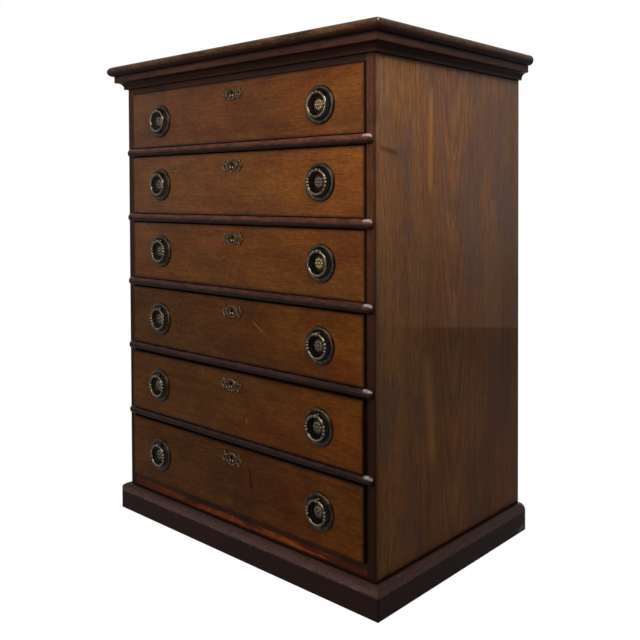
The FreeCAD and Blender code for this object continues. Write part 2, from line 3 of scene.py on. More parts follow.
import bmesh
import bpy
import numpy as np
from mathutils import Matrix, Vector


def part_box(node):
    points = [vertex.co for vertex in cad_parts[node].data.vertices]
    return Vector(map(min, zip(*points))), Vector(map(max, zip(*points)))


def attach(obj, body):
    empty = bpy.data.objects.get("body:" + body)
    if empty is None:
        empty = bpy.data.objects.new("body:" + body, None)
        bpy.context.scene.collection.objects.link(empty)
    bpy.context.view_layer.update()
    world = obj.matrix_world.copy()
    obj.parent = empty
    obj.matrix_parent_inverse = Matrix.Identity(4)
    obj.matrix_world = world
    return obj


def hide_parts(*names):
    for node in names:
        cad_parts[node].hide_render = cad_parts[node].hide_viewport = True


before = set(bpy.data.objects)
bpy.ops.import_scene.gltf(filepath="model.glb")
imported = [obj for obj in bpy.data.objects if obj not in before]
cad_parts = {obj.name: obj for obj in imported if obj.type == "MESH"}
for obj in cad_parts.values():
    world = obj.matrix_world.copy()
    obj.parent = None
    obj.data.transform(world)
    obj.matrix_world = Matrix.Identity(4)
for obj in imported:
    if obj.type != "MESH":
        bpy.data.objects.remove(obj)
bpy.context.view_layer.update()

MM = 0.001

# The studio: a pale floor and white surroundings, one broad lamp over the near corner and three
# farther ones, and the camera where the photographer stood, a little above the middle of the
# chest and level, which is why the picture is shifted down instead of the camera being tilted.
camera_place = (0.9096, -0.9714, 0.5444)
camera_azimuth = 42.50
camera_dip = 1.27
camera_roll = -0.225
camera_lens = 45.2
camera_shift = (-0.0008, -0.1707)
floor_reach = 6.0
unlit_room_way = (0.62, -0.76, 0.18)
unlit_room_level = 0.08
mirrored_floor = 0.4
pure_white = (1, 1, 1, 1)


def stand_camera():
    """Camera turned by azimuth about Z, then dipped, then rolled about its own view."""
    data = bpy.data.cameras.new("camera")
    data.sensor_width = 36.0
    data.lens = camera_lens
    data.shift_x, data.shift_y = camera_shift
    data.clip_end = 50.0
    camera = bpy.data.objects.new("camera", data)
    bpy.context.scene.collection.objects.link(camera)
    turn = (Matrix.Rotation(math.radians(camera_azimuth), 4, "Z")
            @ Matrix.Rotation(math.radians(90.0 - camera_dip), 4, "X")
            @ Matrix.Rotation(math.radians(camera_roll), 4, "Z"))
    camera.matrix_world = Matrix.Translation(camera_place) @ turn
    bpy.context.scene.camera = camera


def hang_lamp(name, place, target, size, power, colour=(1.0, 1.0, 1.0)):
    """A square lamp whose face looks from its place at a target."""
    data = bpy.data.lights.new(name, "AREA")
    data.size = size
    data.energy = power
    data.color = colour
    lamp = bpy.data.objects.new(name, data)
    bpy.context.scene.collection.objects.link(lamp)
    back = Matrix.Translation(place).translation - Matrix.Translation(target).translation
    lamp.matrix_world = Matrix.Translation(place) @ back.to_track_quat("Z", "Y").to_matrix().to_4x4()


def add_node(tree, kind, sockets=None, **settings):
    """A shader node with its own settings, its input sockets given as numbers or as links."""
    made = tree.nodes.new(kind)
    for name, value in settings.items():
        setattr(made, name, value)
    for name, value in (sockets or {}).items():
        if isinstance(value, bpy.types.NodeSocket):
            tree.links.new(value, made.inputs[name])
        else:
            made.inputs[name].default_value = value
    return made


def maths(tree, operation, *values, clamp=False):
    """The output of one Math node."""
    return add_node(tree, "ShaderNodeMath", dict(enumerate(values)), operation=operation,
                    use_clamp=clamp).outputs[0]


def joined_by(operation):
    """A function that takes values in turn through Math nodes of one kind."""
    def joined(tree, first, *others):
        for value in others:
            first = maths(tree, operation, first, value)
        return first
    return joined


times, plus, less = joined_by("MULTIPLY"), joined_by("ADD"), joined_by("SUBTRACT")
most, least = joined_by("MAXIMUM"), joined_by("MINIMUM")


def linear(tree, value, slope, start, clamp=False):
    """value * slope + start"""
    return maths(tree, "MULTIPLY_ADD", value, slope, start, clamp=clamp)


def ramp(tree, value, start, end, low=0.0, high=1.0):
    """A smooth step: low up to start, high from end on."""
    return add_node(tree, "ShaderNodeMapRange", {0: value, 1: start, 2: end, 3: low, 4: high},
                    interpolation_type="SMOOTHSTEP").outputs[0]


def seen_directly(tree, mirrored=1.0):
    """1 for a ray from the camera, a share for one from a mirror or through clear glass, and 0 for
    the light that falls on things."""
    rays = add_node(tree, "ShaderNodeLightPath").outputs
    indirect = most(tree, rays["Is Glossy Ray"], rays["Is Transmission Ray"])
    return most(tree, rays["Is Camera Ray"], times(tree, indirect, mirrored))


def white_surroundings(fill_strength):
    """White where it is seen, except that mirrors also find the unlit room on the camera's side,
    and a plain even fill for the light that it gives."""
    world = bpy.data.worlds.new("studio")
    bpy.context.scene.world = world
    world.use_nodes = True
    tree = world.node_tree
    tree.nodes.clear()
    fill = add_node(tree, "ShaderNodeBackground", {"Color": (1.0, 0.98, 0.96, 1), "Strength": fill_strength})
    way = add_node(tree, "ShaderNodeTexCoord").outputs["Generated"]
    to_room = add_node(tree, "ShaderNodeVectorMath", {0: way, 1: unlit_room_way}, operation="DOT_PRODUCT")
    lit = ramp(tree, to_room.outputs["Value"], 0.30, 0.90, 1.0, unlit_room_level)
    camera_ray = add_node(tree, "ShaderNodeLightPath").outputs["Is Camera Ray"]
    strength = most(tree, camera_ray, lit)
    white = add_node(tree, "ShaderNodeBackground", {"Color": pure_white, "Strength": strength})
    seen = seen_directly(tree)
    mix = add_node(tree, "ShaderNodeMixShader", {0: seen, 1: fill.outputs[0], 2: white.outputs[0]})
    add_node(tree, "ShaderNodeOutputWorld", {"Surface": mix.outputs[0]})


def lay_floor(kept_shadow):
    """A pale floor that is white where it is seen, apart from its share of the shadow."""
    mesh = bpy.data.meshes.new("floor")
    mesh.from_pydata([(floor_reach * a, floor_reach * b, 0) for a, b in ((-1, -1), (1, -1), (1, 1), (-1, 1))],
                     [], [(0, 1, 2, 3)])
    floor = bpy.data.objects.new("floor", mesh)
    bpy.context.scene.collection.objects.link(floor)
    finish = bpy.data.materials.new("pale_floor")
    finish.use_nodes = True
    tree = finish.node_tree
    tree.nodes.clear()
    paint = add_node(tree, "ShaderNodeBsdfDiffuse", {"Color": (0.4, 0.39, 0.38, 1)})
    white = add_node(tree, "ShaderNodeEmission", {"Color": pure_white, "Strength": 1.0 / (1.0 - kept_shadow)})
    share = times(tree, seen_directly(tree, mirrored_floor), 1.0 - kept_shadow)
    mix = add_node(tree, "ShaderNodeMixShader", {0: share, 1: paint.outputs[0], 2: white.outputs[0]})
    add_node(tree, "ShaderNodeOutputMaterial", {"Surface": mix.outputs[0]})
    mesh.materials.append(finish)


stand_camera()
hang_lamp("overhead", (0.64, -0.58, 1.14), (0.20, -0.10, 0.60), 0.45, 7.5, (1.0, 0.97, 0.93))
hang_lamp("from_the_front", (-0.5, -2.3, 0.9), (0.0, -0.1, 0.4), 1.2, 20.0)
hang_lamp("from_behind", (0.9, 1.9, 1.9), (0.0, 0.0, 0.5), 1.2, 3.0)
hang_lamp("behind_left", (-1.0, 2.1, 1.0), (0.0, 0.1, 0.4), 1.2, 20.0)
white_surroundings(0.06)
lay_floor(0.02)
bpy.context.scene.view_settings.view_transform = "Standard"

# Side boards: one broad board of upright mahogany a side, 15 mm thick, housed inside for the rails
# and runners, and stained and French polished outside. A fine groove runs down their front edges,
# which are painted darker as shade: towards the bottom, on the left board and along both arrises.
# The outer faces carry dirt and painted shade along their edges, painted fall-off of the light
# towards the bottom, and a painted reflection edge. The shader helpers that later pieces share are
# here too.
half_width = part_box("side_right")[1][0]
case_front, case_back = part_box("side_right")[0][1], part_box("side_right")[1][1]
case_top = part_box("side_right")[1][2]
cornice_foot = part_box("cornice")[0][2]
plinth_top = 42.5 * MM
board_thickness = 15.0 * MM
edge_softness = 0.7 * MM
side_pale = (0.255, 0.116, 0.040, 1)
side_deep = (0.088, 0.035, 0.013, 1)
# Near black of old dark polish, used both for dirt and for painted shade.
dark_polish_and_shade = (0.018, 0.007, 0.004, 1)
golden_streaks = (((-0.047, 0.70), (-0.050, 0.53), 0.009), ((-0.058, 0.33), (-0.044, 0.15), 0.017))
chevron_lines = (((0.010, 0.586), (0.002, 0.618)), ((0.009, 0.586), (0.018, 0.616)),
                 ((0.008, 0.492), (0.000, 0.520)), ((0.007, 0.492), (0.014, 0.512)))
chevron_width = 1.2 * MM
side_bruise = ((-0.165, 0.603), (-0.118, 0.595), 0.006)


def new_material(name):
    """An empty material and its node tree."""
    made = bpy.data.materials.new(name)
    made.use_nodes = True
    made.node_tree.nodes.clear()
    return made, made.node_tree


def stretched(tree, place, factors):
    """A place with each coordinate multiplied by its own factor."""
    return add_node(tree, "ShaderNodeVectorMath", {0: place, 1: factors}, operation="MULTIPLY").outputs[0]


def shifted(tree, place, amount, way):
    """place + amount * way"""
    return add_node(tree, "ShaderNodeVectorMath", {0: amount, 1: way, 2: place},
                    operation="MULTIPLY_ADD").outputs[0]


def noise(tree, place, stretch, detail=2.0, roughness=0.5):
    """Smooth noise with so many lumps to the metre along each axis."""
    spread = stretched(tree, place, stretch)
    sockets = {"Vector": spread, "Scale": 1.0, "Detail": detail, "Roughness": roughness}
    return add_node(tree, "ShaderNodeTexNoise", sockets).outputs[0]


def mixed(tree, factor, first, second, blend="MIX"):
    """Two colours mixed by a factor."""
    return add_node(tree, "ShaderNodeMix", {0: factor, 6: first, 7: second}, data_type="RGBA",
                    blend_type=blend).outputs[2]


def tinted(tree, colour, tint, share=1.0):
    """A colour multiplied by a share of a tint."""
    return mixed(tree, share, colour, tint, "MULTIPLY")


def turned_place(tree, along):
    """Object coordinates with the grain's axis put first, and the three coordinates alone."""
    place = add_node(tree, "ShaderNodeTexCoord").outputs["Object"]
    x, y, z = add_node(tree, "ShaderNodeSeparateXYZ", {0: place}).outputs
    order = {"X": (x, y, z), "Y": (y, x, z), "Z": (z, y, x)}[along]
    return add_node(tree, "ShaderNodeCombineXYZ", dict(enumerate(order))).outputs[0], (x, y, z)


def figured_wood(tree, place, pale, deep, contrast, fine, seed):
    """Colour, relief and tone of grain along X. tone = 1/2 + contrast * (clouds + bands) + fine *
    (2.6 fibres + hairs), four noises less their middles, each finer across the grain, over a place
    that a slow warp bends."""
    away = shifted(tree, place, (seed, seed, seed), (0.37, 1.93, 3.11))
    sway = less(tree, noise(tree, away, (4.0, 9.0, 9.0)), 0.5)
    bent = shifted(tree, away, sway, (0.0, 0.022, 0.022))
    clouds = less(tree, noise(tree, away, (4.5, 11.0, 11.0), 3.0), 0.5)
    bands = less(tree, noise(tree, bent, (4.0, 60.0, 60.0), 4.0, 0.6), 0.5)
    fibres = less(tree, noise(tree, bent, (60.0, 620.0, 620.0), 4.0, 0.8), 0.5)
    hairs = less(tree, noise(tree, bent, (90.0, 1300.0, 1300.0), 2.0), 0.5)
    pores = ramp(tree, noise(tree, bent, (70.0, 620.0, 620.0), 2.0), 0.60, 0.68)
    coarse = times(tree, plus(tree, clouds, bands), contrast)
    total = linear(tree, linear(tree, fibres, 2.6, hairs), fine, coarse)
    tone = maths(tree, "ADD", total, 0.5, clamp=True)
    flecked = linear(tree, pores, -0.22, tone, clamp=True)
    raised = plus(tree, times(tree, fibres, 0.5), times(tree, hairs, 0.8))
    return mixed(tree, flecked, deep, pale), less(tree, raised, times(tree, pores, 0.8)), tone


# The edge mask serves both dirt along edges and painted shade where they meet other parts.
def edge_grime_and_shade(tree, place, across, up, sides, ends, width):
    """1 at the edges of a rectangle in two coordinates, 0 inside, broken up by noise."""
    nearest = least(tree, less(tree, across, sides[0]), less(tree, sides[1], across),
                    less(tree, up, ends[0]), less(tree, ends[1], up))
    uneven = linear(tree, noise(tree, place, (45.0, 45.0, 45.0), 3.0), 1.6, 0.2)
    return ramp(tree, maths(tree, "DIVIDE", nearest, times(tree, width, uneven)), 0.0, 1.0, 1.0, 0.0)


def surface(tree, colour, roughness, relief, softness, others):
    """A colour, a roughness, and a relief of some height and strength under softened edges."""
    edge_round, height, strength = softness
    edges = add_node(tree, "ShaderNodeBevel", {"Radius": edge_round}, samples=4)
    bump = add_node(tree, "ShaderNodeBump", {"Height": relief, "Distance": height, "Strength": strength,
                                             "Normal": edges.outputs[0]})
    face = add_node(tree, "ShaderNodeBsdfPrincipled", {"Base Color": colour, "Roughness": roughness,
                                                       "Normal": bump.outputs[0], **others})
    add_node(tree, "ShaderNodeOutputMaterial", {"Surface": face.outputs[0]})


def polished(tree, colour, roughness, relief, shine, depth=0.3):
    """Oiled wood under French polish: the colour, pores under softened edges, and a coat that is
    thinner where the mask "shine" is lower."""
    surface(tree, colour, roughness, relief, (edge_softness, 0.4 * MM, depth),
            {"Specular IOR Level": 0.03, "Coat Weight": shine, "Coat Roughness": 0.22})


def mark(tree, across, up, start, end, width):
    """1 along a straight mark between two points, fading to 0 at its width and at its ends."""
    run, rise = end[0] - start[0], end[1] - start[1]
    long = math.hypot(run, rise)
    ahead = less(tree, across, start[0])
    above = less(tree, up, start[1])
    along = linear(tree, above, rise / long, times(tree, ahead, run / long))
    aside = linear(tree, above, -run / long, times(tree, ahead, rise / long))
    near = ramp(tree, maths(tree, "ABSOLUTE", aside), 0.0, width, 1.0, 0.0)
    from_middle = maths(tree, "ABSOLUTE", less(tree, along, long / 2))
    return times(tree, near, ramp(tree, from_middle, long * 0.3, long * 0.5, 1.0, 0.0))


def dress(material, *nodes):
    """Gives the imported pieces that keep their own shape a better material."""
    for node in nodes:
        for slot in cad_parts[node].material_slots:
            slot.material = material


def side_wood():
    """Upright grain with arched rings up the middle of the board, following 25 (y - y0)^2 - 0.16 z.
    It is golden at the top front. Below a slanting line its coat is thinner, and it is painted darker
    and redder there, a painted edge of the surroundings' reflection."""
    made, tree = new_material("side_wood")
    place, (x, y, z) = turned_place(tree, "Z")
    long_grain = stretched(tree, place, (0.45, 1.7, 1.7))
    figure, relief, tone = figured_wood(tree, long_grain, side_pale, side_deep, 0.80, 1.05, 3.0)
    bow = maths(tree, "POWER", maths(tree, "ABSOLUTE", plus(tree, y, -0.009)), 2.0)
    arch = linear(tree, z, -0.16, times(tree, bow, 25.0))
    rings = maths(tree, "SINE", linear(tree, tone, 2.5, times(tree, arch, 420.0)))
    lit = linear(tree, rings, ramp(tree, bow, 0.0004, 0.0030, 0.22, 0.0), 0.5)
    figure = tinted(tree, figure, mixed(tree, lit, (0.6, 0.6, 0.6, 1), (1.4, 1.4, 1.4, 1)))
    ruddy = times(tree, ramp(tree, noise(tree, place, (6.0, 14.0, 14.0), 3.0), 0.44, 0.58, 0.0, 0.7),
                  ramp(tree, y, -0.13, 0.01, 0.35, 1.0))
    figure = tinted(tree, figure, (1.02, 0.80, 0.84, 1), ruddy)
    mauve = ramp(tree, noise(tree, place, (8.0, 17.0, 17.0), 3.0), 0.46, 0.60, 0.0, 0.42)
    figure = mixed(tree, mauve, figure, (0.080, 0.050, 0.046, 1))
    mottled = ramp(tree, noise(tree, place, (45.0, 380.0, 380.0), 3.0, 0.7), 0.34, 0.66)
    figure = tinted(tree, figure, mixed(tree, mottled, (0.84, 0.83, 0.84, 1), (1.13, 1.14, 1.12, 1)))
    golden = most(tree, *(mark(tree, y, z, *streak) for streak in golden_streaks))
    chevrons = most(tree, *(mark(tree, y, z, *ends, chevron_width) for ends in chevron_lines))
    bright = most(tree, times(tree, golden, 0.36), times(tree, chevrons, 0.6))
    figure = mixed(tree, bright, figure, (0.50, 0.22, 0.055, 1))
    figure = mixed(tree, times(tree, mark(tree, y, z, *side_bruise), 0.6), figure, dark_polish_and_shade)
    # Painted reflection edge: below this slanting line the board is painted darker and redder.
    over_reflection_edge = less(tree, z, linear(tree, y, -0.126, 0.351))
    reflection_edge = ramp(tree, over_reflection_edge, -0.0025, 0.0025)
    below = times(tree, less(tree, 1.0, reflection_edge), ramp(tree, over_reflection_edge, -0.16, -0.01))
    back_half = ramp(tree, y, -0.17, -0.01)
    figure = mixed(tree, times(tree, below, back_half, 0.42), figure, (0.045, 0.010, 0.004, 1))
    # Dirt along the board's edges, with painted shade under the cornice and over the plinth.
    grime_and_shade = edge_grime_and_shade(tree, place, y, z, (case_front - 0.004, case_back + 0.012),
                       (plinth_top - 0.004, cornice_foot + 0.002), 0.012)
    stained_and_shaded = mixed(tree, times(tree, grime_and_shade, 0.75), figure, dark_polish_and_shade)
    # Painted fall-off of the light: the board is painted darker towards the bottom.
    rise = linear(tree, z, 1.6, -0.16, clamp=True)
    stained_and_shaded = tinted(tree, stained_and_shaded, linear(tree, maths(tree, "POWER", rise, 1.6), 0.82, 0.76))
    stained_and_shaded = tinted(tree, stained_and_shaded, (1.12, 0.98, 0.86, 1), ramp(tree, z, 0.10, 0.30, 1.0, 0.0))
    # Dirt and painted shade: a near-black strip just above the plinth.
    low = ramp(tree, z, plinth_top + 0.001, plinth_top + 0.0035, 0.96, 0.0)
    edge = ramp(tree, y, case_front + 0.0005, case_front + 0.001, 1.0, 0.0)
    red = tinted(tree, stained_and_shaded, (0.88, 0.66, 0.62, 1), edge)
    from_middle = maths(tree, "ABSOLUTE", x)
    # Painted shade on the front edge: darker towards the bottom, on the left board and along both arrises.
    stile_shade = most(tree, ramp(tree, z, 0.20, 0.50, 0.90, 0.30),
                   ramp(tree, from_middle, half_width - 0.0018, half_width - 0.0006, 0.0, 0.75),
                   ramp(tree, from_middle, half_width - board_thickness, half_width - 0.0125, 0.85, 0.0),
                   ramp(tree, x, -0.01, 0.01, 0.70, 0.0))
    colour = mixed(tree, most(tree, low, times(tree, edge, stile_shade)), red, dark_polish_and_shade)
    shine = times(tree, linear(tree, reflection_edge, 0.65, 0.35), ramp(tree, y, case_front, case_back, 0.12, 0.24),
                  less(tree, 1.0, edge))
    polished(tree, colour, linear(tree, tone, -0.08, 0.50), relief, linear(tree, edge, 0.03, shine))
    return made


dress(side_wood(), "side_left", "side_right")

# Bare inside wood: the pine back boards, the cedar bottom board and dust boards, and the beech
# runners and stops. None of it is polished: it is planed and dusty in patches, and its very front
# is painted dark as shade inside the gaps round the drawers.
bare_pale = (0.52, 0.37, 0.21, 1)
bare_deep = (0.33, 0.20, 0.10, 1)


def bare_wood(name, along, pale, deep, seed):
    """Planed wood with no polish on it, patches of dust and old hand marks, and painted shade at its
    front.
    """
    made, tree = new_material(name)
    place, (_, y, _) = turned_place(tree, along)
    figure, relief, _ = figured_wood(tree, place, pale, deep, 1.3, 0.9, seed)
    patches = ramp(tree, noise(tree, place, (9.0, 9.0, 9.0), 4.0), 0.45, 0.7)
    dusty = mixed(tree, times(tree, patches, 0.45), figure, (0.16, 0.11, 0.07, 1))
    # Painted shade: the very front is painted near black, as shade inside the gaps.
    painted_gap_shade = ramp(tree, y, case_front + 0.0020, case_front + 0.0045, 0.95, 0.0)
    colour = mixed(tree, painted_gap_shade, dusty, dark_polish_and_shade)
    polished(tree, colour, 0.78, relief, 0.0, 0.6)
    return made


dress(bare_wood("pine_upright", "Z", (0.42, 0.27, 0.14, 1), (0.25, 0.14, 0.07, 1), 5.0), "back_boards")
dress(bare_wood("cedar_across", "X", bare_pale, bare_deep, 8.0), "bottom_board", "dust_boards")
dress(bare_wood("beech_runner", "Y", (0.46, 0.31, 0.17, 1), (0.28, 0.17, 0.09, 1), 11.0),
      "drawer_runners", "drawer_stops")

# Front rails: the top rail, five rails between the drawers and the bottom rail, tenoned into the
# sides. The bottom rail is the one that is seen: faded to a reddish orange, thickly polished, with
# dark blotches, darker towards the left, and darkest where it meets the plinth, with dirt and painted
# shade. Painted shade also darkens it under the drawer above, and the top rail under the cornice.
rail_pale = (0.33, 0.070, 0.014, 1)
rail_deep = (0.085, 0.016, 0.005, 1)
opening_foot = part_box("drawer_6_front")[0][2]


def rail_wood():
    """Red polished wood along X, blotched, darker towards the left, dark with dirt and painted shade at
    the plinth, and with painted shade under the drawer above and under the cornice.
    """
    made, tree = new_material("rail_wood")
    place, (x, _, z) = turned_place(tree, "X")
    figure, relief, _ = figured_wood(tree, place, rail_pale, rail_deep, 1.3, 1.2, 21.0)
    blotch = ramp(tree, linear(tree, x, 0.45, noise(tree, place, (14.0, 60.0, 60.0), 3.0)), 0.46, 0.60)
    stained_and_shaded = mixed(tree, times(tree, blotch, 0.85), figure, (0.040, 0.008, 0.004, 1))
    # Dirt and painted shade at the plinth, painted shade under the drawer above and under the cornice.
    low = ramp(tree, z, plinth_top + 0.0015, plinth_top + 0.0060, 0.97, 0.0)
    shaded = ramp(tree, z, opening_foot - 0.0125, opening_foot - 0.0075, 0.0, 0.88)
    at_left = ramp(tree, x, -0.26, -0.05, 0.70, 0.0)
    under = ramp(tree, z, case_top - 0.050, case_top - 0.040, 0.0, 0.92)
    colour = mixed(tree, most(tree, low, shaded, at_left, under), stained_and_shaded, dark_polish_and_shade)
    polished(tree, colour, 0.40, relief, 0.05)
    return made


dress(rail_wood(), "front_rails")

# Half-round mouldings: five lengths of dark stained beech that cover the rails and run out over
# the front edges of the sides. They were turned in one bar, split, glued on and polished almost
# black. Two centuries of opening drawers have dented them. They are painted lighter the higher they
# sit, as painted light, with painted shade on their undersides and a pale painted highlight on top
# of their right ends.
plum_pale = (0.072, 0.026, 0.019, 1)
plum_deep = (0.026, 0.009, 0.007, 1)
# Length of the pale painted highlight on top of each right end.
end_highlight_length = 15.0 * MM
rail_thickness = 14.0 * MM
moulding_end_inset = 3.8 * MM
moulding_end_round = 3.0 * MM
moulding_steps = 240
moulding_sides = 20


def new_piece(name, points, faces, material, body, proud, smooth=True):
    """A mesh at the origin that rides on a body, with one value a point for its material."""
    mesh = bpy.data.meshes.new(name)
    mesh.from_pydata([tuple(p) for p in points], [], [tuple(f) for f in faces])
    told = mesh.attributes.new("proud", "FLOAT", "POINT")
    told.data.foreach_set("value", np.asarray(proud, dtype=np.float32))
    work = bmesh.new()
    work.from_mesh(mesh)
    bmesh.ops.remove_doubles(work, verts=work.verts, dist=1e-6)
    bmesh.ops.recalc_face_normals(work, faces=work.faces)
    work.to_mesh(mesh)
    work.free()
    mesh.polygons.foreach_set("use_smooth", [smooth] * len(mesh.polygons))
    mesh.materials.append(material)
    piece = bpy.data.objects.new(name, mesh)
    bpy.context.scene.collection.objects.link(piece)
    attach(piece, body)
    return piece


def grid_faces(rows, columns, wrap_rows=False):
    """Quads of a grid of points, listed row by row. Each row is a closed ring, and so is each column
    where asked."""
    r, c = np.meshgrid(np.arange(rows if wrap_rows else rows - 1), np.arange(columns), indexing="ij")
    r_next, c_next = (r + 1) % rows, (c + 1) % columns
    corners = [r * columns + c, r * columns + c_next, r_next * columns + c_next, r_next * columns + c]
    return np.stack([k.ravel() for k in corners], axis=1)


def half_round_points(number):
    """Half a bar along X: point = (x, front - R(x) cos a, middle + R(x) sin a), with
    R = radius - round + sqrt(round^2 - (round - d)^2) within the round of an end, d being how far
    the end is, less a few shallow dents. The value rises from 0 underneath to 1 on top, for painted
    shade, and is over 1 on top of the right end, for a painted highlight."""
    radius, end_round = rail_thickness / 2, moulding_end_round
    reach = half_width - moulding_end_inset
    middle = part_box(f"drawer_{number + 1}_front")[1][2] + 1.25 * MM + radius
    even = np.linspace(-1, 1, moulding_steps)
    x = reach * np.sin(even * np.pi / 2) * 0.15 + reach * even * 0.85
    near_end = np.clip(reach - np.abs(x), 0, end_round)
    size = radius - end_round + np.sqrt(end_round ** 2 - (end_round - near_end) ** 2)
    angle = np.linspace(-np.pi / 2, np.pi / 2, moulding_sides)
    chance = np.random.default_rng(number)
    dents = np.zeros((moulding_steps, moulding_sides))
    for _ in range(6):
        where, turn = chance.uniform(-reach, reach), chance.uniform(-0.4, 1.3)
        long, deep = chance.uniform(1.5, 6.0) * MM, chance.uniform(0.10, 0.25) * MM
        dents += deep * np.exp(-((x[:, None] - where) / long) ** 2 - ((angle[None] - turn) / 0.25) ** 2)
    out = np.maximum(size[:, None] - dents, 0.1 * MM)
    points = np.stack([np.repeat(x[:, None], moulding_sides, axis=1),
                       case_front - out * np.cos(angle),
                       middle + out * np.sin(angle)], axis=-1).reshape(-1, 3)
    faces = list(grid_faces(moulding_steps, moulding_sides))
    for row in (0, moulding_steps - 1):
        faces.append([row * moulding_sides + k for k in range(moulding_sides)])
    # Painted highlight: a band on top of the right end, over its last 15 mm.
    at_end = np.clip((x - reach + end_highlight_length) / (3 * MM), 0, 1)[:, None]
    on_top = np.exp(-((angle - 0.75) / 0.42) ** 2)[None]
    facing_up = 0.5 + 0.5 * np.sin(angle)[None]
    return points, faces, (facing_up + 1.2 * at_end * on_top).ravel()


def half_round_wood():
    """Nearly black polish with a plum cast, painted lighter on the higher mouldings as painted light,
    with painted shade underneath and a painted highlight where the value is high.
    """
    made, tree = new_material("half_round_wood")
    place, (_, _, z) = turned_place(tree, "X")
    figure, relief, _ = figured_wood(tree, place, plum_pale, plum_deep, 0.9, 0.6, 31.0)
    value = add_node(tree, "ShaderNodeAttribute", attribute_name="proud").outputs["Fac"]
    # Painted light: the higher mouldings are painted lighter and the lower ones darker.
    upper = mixed(tree, ramp(tree, z, 0.28, 0.60), (0.74, 0.72, 0.76, 1), (2.45, 2.25, 1.60, 1))
    mottle = ramp(tree, noise(tree, place, (60.0, 160.0, 160.0), 4.0, 0.7), 0.40, 0.60, 0.55, 1.15)
    hue = tinted(tree, tinted(tree, figure, upper), mottle)
    # Painted shade: the undersides, where the value is low, are painted near black.
    shaded = mixed(tree, ramp(tree, value, 0.20, 0.92, 0.85, 0.0), hue, (0.008, 0.003, 0.002, 1))
    # Painted highlight: pale speckled colour on top of the right ends.
    speckled = ramp(tree, noise(tree, place, (260.0, 260.0, 260.0), 3.0), 0.30, 0.60, 0.10, 1.0)
    end_highlight = times(tree, ramp(tree, value, 1.10, 1.95), speckled)
    colour = mixed(tree, end_highlight, shaded, (0.38, 0.32, 0.31, 1))
    polished(tree, colour, 0.30, relief, 0.12)
    return made


plum_wood = half_round_wood()
# The value called rubbed drives painted shade underneath and the painted highlight at the right ends.
for number in range(1, 6):
    points, faces, rubbed = half_round_points(number)
    piece = new_piece(f"half_round_{number}", points, faces, plum_wood, "case", rubbed)
    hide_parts("half_round_mouldings")

# Cornice: three mitred lengths of moulding under the top, each a fascia with a rounded foot, a
# quirk, a hollow and a small fillet. It is stained darker than the case. The quirk and the hollow
# are painted near black with old wax and dirt and with painted shade under the fascia, and a line
# of painted shade runs along its top under the nose of the top board.
cornice_pale = (0.085, 0.030, 0.017, 1)
cornice_deep = (0.020, 0.006, 0.004, 1)
fascia_foot = case_top - 0.011


def mitred_place(tree):
    """Object coordinates whose grain turns from X to Y where the mouldings are mitred, the three
    alone, the line of the mitre, and how far a point stands out of the case."""
    place = add_node(tree, "ShaderNodeTexCoord").outputs["Object"]
    x, y, z = add_node(tree, "ShaderNodeSeparateXYZ", {0: place}).outputs
    sideways = less(tree, maths(tree, "ABSOLUTE", x), half_width)
    forwards = less(tree, case_front, y)
    turned = maths(tree, "GREATER_THAN", sideways, forwards)
    swapped = add_node(tree, "ShaderNodeCombineXYZ", {0: y, 1: x, 2: z}).outputs[0]
    both = add_node(tree, "ShaderNodeMix", {0: turned, 4: place, 5: swapped}, data_type="VECTOR").outputs[1]
    mitre = ramp(tree, maths(tree, "ABSOLUTE", less(tree, sideways, forwards)), 0.0, 0.0012, 1.0, 0.0)
    return both, (x, y, z), mitre, most(tree, sideways, forwards)


def cornice_wood():
    """Dark red-brown polish, paler on the fascia, near black with dirt and painted shade in the quirk
    and the hollow, and with painted shade along the top.
    """
    made, tree = new_material("cornice_wood")
    place, (_, _, z), mitre, _ = mitred_place(tree)
    figure, relief, _ = figured_wood(tree, place, cornice_pale, cornice_deep, 1.3, 0.9, 41.0)
    # Dirt and painted shade below the fascia's foot; painted shade along the top under the nose.
    hollow = ramp(tree, z, fascia_foot - 0.001, fascia_foot + 0.0005, 0.80, 0.0)
    under = ramp(tree, z, case_top - 0.0045, case_top - 0.0015, 0.0, 0.92)
    patches = ramp(tree, noise(tree, place, (14.0, 80.0, 80.0), 3.0), 0.3, 0.6, 0.75, 1.1)
    shade = most(tree, times(tree, hollow, patches), under, mitre)
    colour = mixed(tree, shade, figure, dark_polish_and_shade)
    polished(tree, colour, 0.33, relief, linear(tree, hollow, -0.07, 0.05, clamp=True))
    return made


dress(cornice_wood(), "cornice")

# Top board: 16.5 mm thick with a round nose on its front and ends, mitred at the corners. The nose
# has been handled for two centuries: it is rubbed to a warm golden brown along the front, and olive
# brown and scuffed along the side.
overall_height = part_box("top_board")[1][2]
top_pale = (0.092, 0.034, 0.016, 1)
top_deep = (0.016, 0.007, 0.004, 1)


